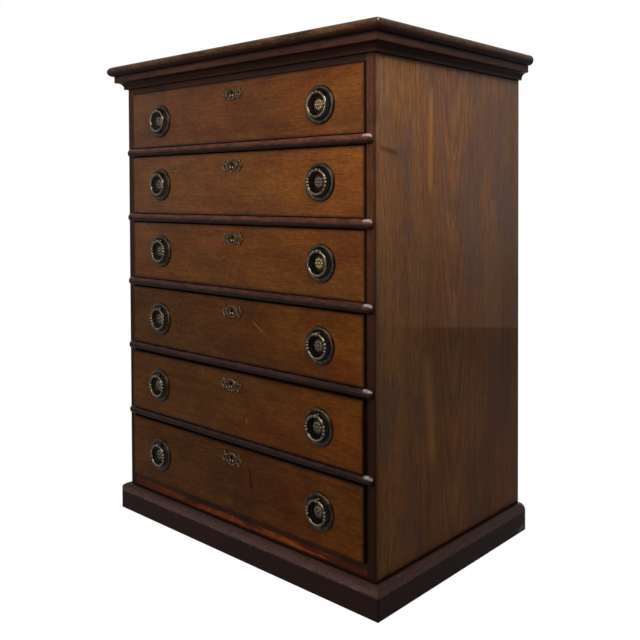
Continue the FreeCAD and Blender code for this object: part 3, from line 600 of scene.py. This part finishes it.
def top_wood():
    """Polished wood, rubbed pale in streaks along the nose, with painted shade below it and a painted
    glint at the top of the mitre.
    """
    made, tree = new_material("top_wood")
    place, (_, _, z), mitre, nose_out = mitred_place(tree)
    figure, relief, _ = figured_wood(tree, place, top_pale, top_deep, 1.2, 1.3, 52.0)
    rub = ramp(tree, noise(tree, place, (22.0, 120.0, 120.0), 4.0), 0.44, 0.66)
    high = ramp(tree, z, case_top + 0.003, case_top + 0.012)
    out = ramp(tree, nose_out, 0.015, 0.024)
    rubbed = mixed(tree, times(tree, rub, high, out, 0.36), figure, (0.26, 0.120, 0.050, 1))
    soiled = ramp(tree, noise(tree, place, (90.0, 260.0, 260.0), 4.0, 0.7), 0.46, 0.60, 0.0, 0.55)
    rubbed = mixed(tree, times(tree, soiled, out), rubbed, (0.020, 0.013, 0.008, 1))
    scuffed = ramp(tree, noise(tree, place, (220.0, 480.0, 480.0), 3.0, 0.8), 0.57, 0.68, 0.0, 0.45)
    rubbed = mixed(tree, times(tree, scuffed, out), rubbed, (0.20, 0.13, 0.075, 1))
    # Painted shade below the nose.
    low = ramp(tree, z, case_top + 0.002, case_top + 0.009, 0.95, 0.0)
    soft = mixed(tree, most(tree, low, times(tree, mitre, 0.5)), rubbed, dark_polish_and_shade)
    # Painted highlight: a pale glint on the top of the mitre at the nose.
    tip = times(tree, maths(tree, "GREATER_THAN", nose_out, 0.019),
                maths(tree, "GREATER_THAN", z, overall_height - 0.006), mitre)
    colour = mixed(tree, tip, soft, (0.75, 0.48, 0.42, 1))
    relief = times(tree, relief, ramp(tree, nose_out, 0.005, 0.020, 0.15, 1.0))
    polished(tree, colour, linear(tree, rub, 0.12, 0.34), relief, 0.02)
    return made


dress(top_wood(), "top_board")

# Plinth: three mitred lengths planted round the foot, with a broad round top edge. Its face is
# nearly black from floor polish and mops, and its round edge is a worn purplish brown, painted
# lighter towards its foot as painted light. A black line of dirt and painted shade runs where it
# meets the case.
plinth_pale = (0.084, 0.045, 0.038, 1)
plinth_deep = (0.042, 0.020, 0.017, 1)
plinth_face = (0.0185, 0.0072, 0.0062, 1)


def plinth_wood():
    """Purplish brown on the round edge, painted lighter low on the round as painted light, going to
    nearly black on the upright face below it, and black with dirt and painted shade at the case.
    """
    made, tree = new_material("plinth_wood")
    place, (_, y, z), _, out = mitred_place(tree)
    figure, relief, _ = figured_wood(tree, place, plinth_pale, plinth_deep, 1.0, 1.1, 61.0)
    face = ramp(tree, z, plinth_top - 0.0130, plinth_top - 0.0105, 0.95, 0.0)
    scuffs = ramp(tree, noise(tree, place, (25.0, 90.0, 90.0), 4.0), 0.58, 0.74, 1.0, 0.85)
    # Dirt and painted shade: a black line on the top where it meets the case.
    ledge = ramp(tree, out, 0.0020, 0.0048, 0.96, 0.0)
    # Painted light: the round is painted lighter towards its foot, against its shading from above.
    painted_light_on_round = ramp(tree, z, plinth_top - 0.0100, plinth_top - 0.0010, 1.5, 0.8)
    band = tinted(tree, figure, painted_light_on_round)
    stained_and_shaded = mixed(tree, times(tree, face, scuffs), band, plinth_face)
    from_arris = maths(tree, "ABSOLUTE", less(tree, z, plinth_top - 0.0105))
    near_arris = ramp(tree, from_arris, 0.0, 0.004, 0.45, 0.0)
    fine = noise(tree, place, (150.0, 300.0, 300.0), 3.0)
    chips = ramp(tree, plus(tree, fine, times(tree, near_arris, 0.3)), 0.70, 0.78, 0.0, 0.7)
    rubbed_line = times(tree, near_arris, ramp(tree, fine, 0.42, 0.56), 0.9)
    stained_and_shaded = mixed(tree, rubbed_line, stained_and_shaded, (0.10, 0.066, 0.056, 1))
    chipped = mixed(tree, chips, stained_and_shaded, (0.15, 0.11, 0.085, 1))
    foot_end = times(tree, ramp(tree, y, case_back - 0.034, case_back - 0.010),
                     ramp(tree, z, 0.006, 0.015, 1.0, 0.0))
    end = most(tree, ramp(tree, y, case_back - 0.008, case_back - 0.001), foot_end)
    bare = mixed(tree, times(tree, end, ramp(tree, fine, 0.40, 0.58), 0.8), chipped, (0.26, 0.22, 0.11, 1))
    colour = mixed(tree, ledge, bare, (0.006, 0.002, 0.001, 1))
    polished(tree, colour, 0.36, relief, 0.02)
    return made


dress(plinth_wood(), "plinth")

# Drawer boxes: dovetailed sides and back of thin cedar with a thin bottom panel, all bare wood.
drawer_numbers = range(1, 7)
box_wood = bare_wood("cedar_box", "Y", bare_pale, bare_deep, 14.0)
for number in drawer_numbers:
    dress(box_wood, f"drawer_{number}_box")

# Drawer fronts: 18 mm mahogany, cut one after the other from the same boards, with the grain
# across, polished to an orange brown. Each has its own tone, darker towards the bottom, partly the
# wood's and partly painted fall-off of the light. Their edges are lined with old polish and dirt and
# with painted shade, their ends are painted dark as end grain and as shade in the gaps, and the
# lower ones have a few scratches and stains.
front_pale = (0.215, 0.077, 0.013, 1)
front_deep = (0.078, 0.023, 0.005, 1)
# Tones of the six fronts, which also carry painted fall-off of the light towards the bottom.
front_tones_and_falloff = (0.74, 0.90, 0.81, 0.50, 0.57, 0.50)
front_fading = (0.9, 1.0, 0.35, 2.2, 1.15, 1.0)
front_shine = (0.16, 0.16, 0.14, 0.10, 0.07, 0.05)
pale_scratch = (0.42, 0.20, 0.06, 1)
# Near black for dirt and painted shade at the fronts' edges and ends.
edge_dirt_and_shade = (0.012, 0.005, 0.003, 1)
front_marks = {
    2: (((-0.0275, 0.568), (-0.0285, 0.560), 0.0012, 0.5),),
    4: (((0.043, 0.358), (0.067, 0.342), 0.0013, -0.60),),
    5: (((0.028, 0.215), (0.029, 0.204), 0.0022, 0.6),
        ((0.033, 0.213), (0.034, 0.205), 0.0015, -0.4)),
    6: (((0.034, 0.149), (0.040, 0.128), 0.0030, 0.35),
        ((0.0385, 0.140), (0.0415, 0.106), 0.0055, 0.90),
        ((-0.05, 0.098), (0.05, 0.082), 0.0120, 0.35))}


def front_wood(number):
    """Grain across the front, at its own tone, which carries painted fall-off of the light too, faded
    on the right, with edges dark with dirt and painted shade, ends painted dark as end grain and as
    shade in the gaps, and old marks: bruises where a mark's strength is over 0, pale scratches where
    it is under 0."""
    made, tree = new_material(f"drawer_{number}_front_wood")
    place, (x, y, z) = turned_place(tree, "X")
    low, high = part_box(f"drawer_{number}_front")
    # The tone carries painted fall-off of the light as well as the wood's own tone.
    pale, deep = ([c * front_tones_and_falloff[number - 1] for c in wood[:3]] + [1] for wood in (front_pale, front_deep))
    close_grain = stretched(tree, place, (0.5, 1.5, 1.5))
    figure, relief, tone = figured_wood(tree, close_grain, pale, deep, 0.70, 0.70, 70.0 + 7.0 * number)
    faded = ramp(tree, linear(tree, noise(tree, place, (6.0, 12.0, 12.0)), 0.12, x), 0.10, 0.30)
    fading = front_fading[number - 1]
    colour = tinted(tree, figure, (1.0 + 0.32 * fading, 1.0 + 0.22 * fading, 1.0, 1), faded)
    reddened = ramp(tree, noise(tree, place, (5.0, 9.0 + number, 9.0), 3.0), 0.44, 0.60)
    colour = tinted(tree, colour, (1.04, 0.90, 0.86, 1), reddened)
    clouds = ramp(tree, noise(tree, place, (12.0 + number, 24.0, 24.0), 5.0, 0.6), 0.36, 0.64)
    colour = tinted(tree, colour, mixed(tree, clouds, (0.82, 0.78, 0.82, 1), (1.09, 1.10, 1.03, 1)))
    mottled = ramp(tree, noise(tree, place, (110.0, 230.0, 230.0), 3.0, 0.7), 0.34, 0.66)
    colour = tinted(tree, colour, mixed(tree, mottled, (0.84, 0.82, 0.84, 1), (1.13, 1.15, 1.10, 1)))
    for start, end, width, strength in front_marks.get(number, ()):
        share = times(tree, mark(tree, x, z, start, end, width), abs(strength))
        colour = mixed(tree, share, colour, dark_polish_and_shade if strength > 0 else pale_scratch)
    # The ends are painted dark: dark end grain, and painted shade where they go into the gaps.
    end_face = times(tree, maths(tree, "GREATER_THAN", maths(tree, "ABSOLUTE", x), high[0] - 0.0004),
                     ramp(tree, y, low[1] + 0.0010, low[1] + 0.0030),
                     ramp(tree, y, case_front + 0.0030, case_front + 0.0060, 1.0, 0.3))
    # Dirt and painted shade along the edges, where they meet the rails, mouldings and sides.
    grime_and_shade = edge_grime_and_shade(tree, place, x, z, (low[0] - 0.001, high[0] + 0.001),
                       (low[2] - 0.001, high[2] + 0.001), 0.006)
    colour = mixed(tree, most(tree, times(tree, grime_and_shade, 0.9), end_face), colour, edge_dirt_and_shade)
    shine = times(tree, ramp(tree, x, low[0], high[0], 1.35, 0.65), front_shine[number - 1])
    polished(tree, colour, linear(tree, tone, -0.08, 0.46), relief, shine)
    return made


for number in drawer_numbers:
    dress(front_wood(number), f"drawer_{number}_front")

# Locks: brass cases with their caps, pins, bolts and screws, let into the backs of the drawer
# fronts. They are out of sight and never rubbed, so the brass is dull and brown.
patina_dark = (0.025, 0.018, 0.013, 1)
patina_mid = (0.054, 0.039, 0.026, 1)
rubbed_brass = (0.40, 0.27, 0.12, 1)


def aged_brass(name, dark, mid, bright, rough, share):
    """Patina between two tones, black in hollows and where the attribute "proud" is under 0, with
    painted shade where another part comes close, as under the ring, and bright metal where it says
    that hands and cloths have rubbed: ramp(proud + noise) * share."""
    made, tree = new_material(name)
    place = add_node(tree, "ShaderNodeTexCoord").outputs["Object"]
    mottle = noise(tree, place, (230.0, 230.0, 230.0), 4.0)
    fine = noise(tree, place, (900.0, 900.0, 900.0), 2.0)
    proud = add_node(tree, "ShaderNodeAttribute", attribute_name="proud").outputs["Fac"]
    open_air = add_node(tree, "ShaderNodeAmbientOcclusion", {"Distance": 7.0 * MM}, samples=6).outputs["AO"]
    base = mixed(tree, ramp(tree, mottle, 0.35, 0.65), dark, mid)
    rubbed = ramp(tree, linear(tree, mottle, 0.5, proud), 0.75, 1.25, 0.0, share)
    metal = mixed(tree, rubbed, base, bright)
    # Soot in the hollows, with painted shade from the occlusion node where other parts come close.
    soot_and_shade = most(tree, ramp(tree, open_air, 0.10, 0.80, 0.75, 0.0), ramp(tree, proud, -0.3, 0.0, 0.9, 0.0))
    colour = mixed(tree, soot_and_shade, metal, (0.007, 0.005, 0.004, 1))
    gloss = linear(tree, mottle, 0.10, rough)
    surface(tree, colour, gloss, fine, (0.3 * MM, 0.03 * MM, 0.2), {"Metallic": 1.0})
    return made


lock_brass = aged_brass("lock_brass", (0.10, 0.075, 0.04, 1), (0.22, 0.16, 0.08, 1), rubbed_brass,
                        0.35, 0.5)
for number in drawer_numbers:
    dress(lock_brass, f"drawer_{number}_lock", f"drawer_{number}_lock_bolt")

# Keyhole plates: thin stamped brass, pierced beside a raised oval and pinned on. The plate has gone
# the brown of the drawer, and a fine bead along each of its edges is still golden.
plate_half_width = 22.8 * MM
plate_half_height = 9.3 * MM
plate_thickness = 1.2 * MM
bead_wire = 0.5 * MM
lip_turn = 2.4 * MM
lip_drop = 2.7 * MM


def wire_loop(path, radius, sides=8):
    """A round wire along a closed path that lies in a plane across Y:
    point = path + radius * (cos a * outward + sin a * Y)."""
    ahead = np.roll(path, -1, axis=0) - np.roll(path, 1, axis=0)
    ahead /= np.linalg.norm(ahead, axis=1)[:, None]
    depth = np.array((0.0, 1.0, 0.0))
    outward = np.cross(ahead, depth)[:, None]
    angle = np.linspace(0, 2 * np.pi, sides, endpoint=False)[None, :, None]
    ring = path[:, None] + radius * (np.cos(angle) * outward + np.sin(angle) * depth)
    return ring.reshape(-1, 3), grid_faces(len(path), sides, wrap_rows=True)


def arc_through(start, middle, end, count=9):
    """Points of the curve p(t) = (1-t)^2 start + 2t(1-t) bend + t^2 end that meets the middle."""
    start, middle, end = (np.array(p, dtype=float) for p in (start, middle, end))
    bend = 2 * middle - (start + end) / 2
    t = np.linspace(0, 1, count, endpoint=False)[:, None]
    return (1 - t) ** 2 * start + 2 * t * (1 - t) * bend + t ** 2 * end


def plate_outline():
    """The plate's edge in X and Z: the top of the oval, a dip, a spike, a notch and the tip, and
    the same mirrored three times."""
    wide, high = plate_half_width, plate_half_height
    dip, spike, notch = (wide * 0.44, high * 0.53), (wide * 0.74, high * 0.99), (wide * 0.86, high * 0.38)
    quarter = np.concatenate([
        arc_through((0, high), (wide * 0.25, high * 0.88), dip),
        arc_through(dip, (wide * 0.60, high * 0.60), spike),
        arc_through(spike, (wide * 0.78, high * 0.64), notch),
        arc_through(notch, (wide * 0.965, high * 0.21), (wide, 0)),
        [(wide, 0)]])
    lower = quarter[::-1][1:] * (1, -1)
    half = np.concatenate([quarter, lower])
    return np.concatenate([half, half[::-1][1:-1] * (-1, 1)])


def oval_outline(half_wide, half_high, middle=0.0, count=40):
    """An ellipse in X and Z."""
    turn = np.linspace(0, 2 * np.pi, count, endpoint=False)
    return np.stack([middle + half_wide * np.cos(turn), half_high * np.sin(turn)], axis=1)


def lip_points(middle, half_wide, half_high, stand):
    """A low oval dome that faces -Y: middle + (a sin t cos u, -stand cos t, b sin t sin u)."""
    turn = np.linspace(0.05, np.pi / 2, 7)
    about = np.linspace(0, 2 * np.pi, 16, endpoint=False)
    t, u = np.meshgrid(turn, about, indexing="ij")
    dome = np.stack([half_wide * np.sin(t) * np.cos(u), -stand * np.cos(t),
                     half_high * np.sin(t) * np.sin(u)], axis=-1)
    faces = [tuple(face) for face in grid_faces(7, 16)] + [tuple(range(16))]
    return dome.reshape(-1, 3) + middle, faces


def plate_bead_points(face, middle_z):
    """A bead along the plate's edge, along its oval and round its two holes, and two lips under the
    keyhole: points, faces, and how rubbed each point is."""
    wide, high = plate_half_width, plate_half_height
    outlines = [(plate_outline() * 0.985, 0.0), (oval_outline(wide * 0.50, high * 0.87), 0.5 * MM)]
    outlines += [(oval_outline(wide * 0.10, high * 0.40, way * wide * 0.70, 20), 0.0) for way in (1, -1)]
    parts = []
    for outline, stand in outlines:
        y = np.full(len(outline), face - plate_thickness - stand)
        path = np.stack([outline[:, 0], y, middle_z + outline[:, 1]], axis=1)
        parts.append((*wire_loop(path, bead_wire, 6), 0.2))
    for way in (-1, 1):
        place = (way * lip_turn, face - plate_thickness - 0.3 * MM, middle_z - lip_drop)
        parts.append((*lip_points(place, 1.2 * MM, 1.9 * MM, 0.9 * MM), 1.4))
    firsts = np.cumsum([0] + [len(points) for points, _, _ in parts])
    faces = [tuple(k + first for k in face) for first, (_, quads, _) in zip(firsts, parts) for face in quads]
    proud = np.concatenate([np.full(len(points), value) for points, _, value in parts])
    return np.concatenate([points for points, _, _ in parts]), faces, proud


plate_brass = aged_brass("plate_brass", (0.030, 0.016, 0.009, 1), (0.080, 0.044, 0.024, 1), rubbed_brass,
                         0.42, 0.2)
bead_brass = aged_brass("bead_brass", (0.07, 0.046, 0.030, 1), (0.20, 0.140, 0.085, 1), (0.32, 0.26, 0.21, 1),
                        0.34, 0.9)
for number in drawer_numbers:
    low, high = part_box(f"drawer_{number}_escutcheon")
    points, faces, proud = plate_bead_points(high[1], (low[2] + high[2]) / 2)
    new_piece(f"drawer_{number}_plate_beads", points, faces, bead_brass, f"drawer_{number}",
              proud)
    dress(plate_brass, f"drawer_{number}_escutcheon")

# Backplates: spun brass discs 53 mm across with a broad round rim, a dark dish and a cast rosette
# of eight petals in the middle. The rosettes are rubbed golden, and most of all those of the top
# and third drawers on the right.
pull_x = 178.0 * MM
plate_radius = 26.5 * MM
ring_radius = 16.4 * MM
ring_stand = 7.2 * MM
boss_radius = 9.6 * MM
rim_middle = 23.2 * MM
rim_half_width = 3.3 * MM
fine_bead_middle = 18.2 * MM
fine_bead_half_width = 1.1 * MM
golden_pulls = ((1, "right"), (3, "right"))


def rosette_relief(r, turn):
    """Eight petals |cos 4a|^0.35 sin(pi (r - 2.8) / 6.8) round a button, in mm over the boss."""
    petal = np.abs(np.cos(4 * turn)) ** 0.35 * np.sin(np.pi * np.clip((r - 2.8) / 6.8, 0, 1))
    return petal + np.sqrt(np.clip(1 - (r / 2.6) ** 2, 0, None))


def swell(radius, middle, half_width):
    """sqrt(1 - ((radius - middle) / half_width)^2), and 0 outside"""
    return np.sqrt(np.clip(1 - ((radius - middle) / half_width) ** 2, 0, None))


def plate_height(radius, turn):
    """Height of the plate's face over the wood: a dish at 1.0 to 1.2 mm, with a rim of 2.1, a fine
    bead of 0.7 and a boss of 3.0 swelling from it, and on the boss the rosette."""
    dish = 1.0 + 0.2 * np.clip(radius / (10 * MM) - 1, 0, 1)
    fall = np.clip((plate_radius - radius) / (0.5 * MM), 0, 1)
    return MM * (dish * fall + 2.1 * swell(radius, rim_middle, rim_half_width)
                 + 0.7 * swell(radius, fine_bead_middle, fine_bead_half_width)
                 + 3.0 * swell(radius, 0.0, boss_radius) + rosette_relief(radius / MM, turn))


def pull_plate_points():
    """One plate about the origin, facing -Y: rings of points from the middle to the rim, then the
    edge down to the wood, and how proud each stands."""
    radii = MM * np.concatenate([np.linspace(0.05, 9.6, 28), np.linspace(9.9, 19.6, 18),
                                 np.linspace(19.9, 26.5, 22)])
    turns = np.linspace(0, 2 * np.pi, 96, endpoint=False)
    r, a = np.meshgrid(radii, turns, indexing="ij")
    h = plate_height(r, a)
    r = np.concatenate([r, r[-1:]])
    a = np.concatenate([a, a[-1:]])
    h = np.concatenate([h, np.zeros_like(h[-1:])])
    points = np.stack([r * np.sin(a), -h, r * np.cos(a)], axis=-1).reshape(-1, 3)
    middle_point = len(points)
    points = np.concatenate([points, [(0.0, -h[0, 0], 0.0)]])
    faces = list(grid_faces(len(r), len(turns)))
    faces += [(middle_point, (k + 1) % len(turns), k) for k in range(len(turns))]
    rosette = 0.58 + 0.45 * rosette_relief(r / MM, a)
    proud = np.where(r < boss_radius, rosette, 0.22 + 0.10 * (h / MM - 1.2))
    proud = np.where((r > boss_radius) & (r < rim_middle - rim_half_width), -0.3, proud).ravel()
    return points, faces, np.append(proud, 1.0)


def pull_place(number, side):
    """Middle of a pull on the face of its drawer."""
    low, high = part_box(f"drawer_{number}_pulls")
    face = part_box(f"drawer_{number}_front")[0][1]
    x = pull_x if side == "right" else -pull_x
    return np.array((x, face, (low[2] + high[2]) / 2))


def fit_to_drawer(kind, number, side, points, faces, metal, proud, smooth=True):
    """A piece given about the middle of a pull, in place of the plain one."""
    piece = new_piece(f"drawer_{number}_{kind}_{side}", points + pull_place(number, side), faces, metal,
                      f"drawer_{number}", proud, smooth)
    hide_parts(f"drawer_{number}_pulls")


pulls = [(number, side) for number in drawer_numbers for side in ("left", "right")]
plate_metal = aged_brass("backplate_brass", patina_dark, patina_mid, (0.105, 0.074, 0.048, 1), 0.30, 0.8)
golden_metal = aged_brass("golden_backplate_brass", patina_dark, patina_mid, (0.34, 0.24, 0.115, 1),
                          0.28, 0.55)
for number, side in pulls:
    points, faces, proud = pull_plate_points()
    metal = golden_metal if (number, side) in golden_pulls else plate_metal
    fit_to_drawer("backplate", number, side, points, faces, metal, proud)

# Posts: a turned brass post through each plate and drawer front, with a collar on the plate, a
# round knob that is drilled for the ring, and a square nut inside the drawer.
post_radius = 2.0 * MM
collar_radius = 2.8 * MM
knob_radius = 3.1 * MM
front_thickness = 18.0 * MM
nut_half_width = 4.0 * MM
nut_thickness = 3.0 * MM


def turned_points(profile, sides=28):
    """A shape turned about the Y axis, from (radius, y) points."""
    radius, along = np.array(profile).T
    turns = np.linspace(0, 2 * np.pi, sides, endpoint=False)
    r, a = np.meshgrid(radius, turns, indexing="ij")
    y = np.repeat(along[:, None], sides, axis=1)
    return np.stack([r * np.sin(a), y, r * np.cos(a)], axis=-1).reshape(-1, 3), grid_faces(len(radius), sides)


def post_profile():
    """The knob's ball, the neck below it, the collar on the plate, and the shank to the nut."""
    turn = np.linspace(0.02, 2.35, 16)
    ball = np.stack([knob_radius * np.sin(turn), -ring_stand - knob_radius * np.cos(turn)], axis=1)
    rest = [(post_radius * 0.9, -4.6 * MM), (collar_radius, -4.0 * MM), (collar_radius * 1.1, -3.2 * MM),
            (collar_radius * 1.1, -1.0 * MM), (post_radius, -1.0 * MM),
            (post_radius, front_thickness + nut_thickness + 0.6 * MM),
            (0.02 * MM, front_thickness + nut_thickness + 0.8 * MM)]
    return np.concatenate([ball, rest])


def nut_points():
    """A square nut with its corners cut off: eight sides, chamfered on both faces."""
    half, cut = nut_half_width, 0.8 * MM
    corner = np.array([(half, -half + cut), (half, half - cut), (half - cut, half), (-half + cut, half),
                       (-half, half - cut), (-half, -half + cut), (-half + cut, -half), (half - cut, -half)])
    rows = []
    for scale, y in ((0.30, 0.0), (0.9, 0.0), (1.0, 0.4 * MM), (1.0, nut_thickness - 0.4 * MM),
                     (0.9, nut_thickness), (0.30, nut_thickness)):
        rows.append(np.stack([corner[:, 0] * scale, np.full(8, front_thickness + y),
                              corner[:, 1] * scale], axis=1))
    return np.concatenate(rows), grid_faces(len(rows), 8)


post_metal = aged_brass("post_brass", (0.045, 0.036, 0.026, 1), (0.13, 0.10, 0.065, 1), rubbed_brass,
                        0.28, 0.6)
for number, side in pulls:
    for kind, (points, faces), rubbed, smooth in (("post", turned_points(post_profile()), 0.6, True),
                                                  ("nut", nut_points(), 0.2, False)):
        fit_to_drawer(kind, number, side, points + (0, 0, ring_radius), faces, post_metal,
                      np.full(len(points), rubbed), smooth)

# Rings: cast brass rings 37 mm across that swing on the knobs, each with a thin neck where it
# passes the eye. Four are plain replacements, and the rest have three beads at each side and two
# collars at the foot. Fingers keep them brighter than the plates.
ring_wire = 2.0 * MM
neck_wire = 1.35 * MM
neck_angle = 22.0
bead_radius = 2.6 * MM
bead_angles = (74.0, 90.0, 106.0)
foot_bead_radius = 2.3 * MM
foot_bead_angle = 8.0
groove_angles = (66.0, 82.0, 98.0, 114.0)
groove_width = 2.2
plain_rings = ((1, "left"), (1, "right"), (2, "left"), (3, "right"))


def ring_points(beaded):
    """The ring about the pull's middle: wire radius w(s) over the angle s from the eye, the most
    of the plain wire and of each bead's sqrt(R^2 - (ring radius * (s - s0))^2)."""
    angle = np.arange(0.0, 360.0, 0.75)
    from_eye = np.minimum(angle, 360.0 - angle)
    wire = neck_wire + (ring_wire - neck_wire) / (1 + np.exp(-(from_eye - neck_angle) / 0.5))
    swells = [(neck_angle, ring_wire + 0.35 * MM)]
    if beaded:
        swells += [(bead, bead_radius) for bead in bead_angles]
        swells.append((180.0 - foot_bead_angle, foot_bead_radius))
    for place, radius in swells:
        away = ring_radius * np.radians(from_eye - place)
        wire = np.maximum(wire, np.sqrt(np.clip(radius ** 2 - away ** 2, 0, None)))
    turn = np.radians(angle)[:, None]
    round_wire = np.linspace(0, 2 * np.pi, 20, endpoint=False)[None, :]
    reach = ring_radius + wire[:, None] * np.cos(round_wire)
    y = -ring_stand + wire[:, None] * np.sin(round_wire)
    points = np.stack([reach * np.sin(turn), y, reach * np.cos(turn)], axis=-1).reshape(-1, 3)
    grooves = groove_angles if beaded else ()
    gap = sum(np.exp(-((from_eye - groove) / groove_width) ** 2) for groove in grooves)
    proud = np.repeat(0.75 + 0.25 * (wire > ring_wire + 0.4 * MM) - 1.1 * gap, 20)
    return points, grid_faces(len(angle), 20, wrap_rows=True), proud


ring_metal = aged_brass("ring_brass", (0.030, 0.025, 0.018, 1), (0.070, 0.058, 0.042, 1),
                        (0.22, 0.180, 0.125, 1), 0.17, 0.75)
for number, side in pulls:
    points, faces, proud = ring_points((number, side) not in plain_rings)
    piece = new_piece(f"drawer_{number}_swinging_ring_{side}", points + pull_place(number, side), faces,
                      ring_metal, f"ring_{number}_{side}", proud)
    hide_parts(f"drawer_{number}_ring_{side}")
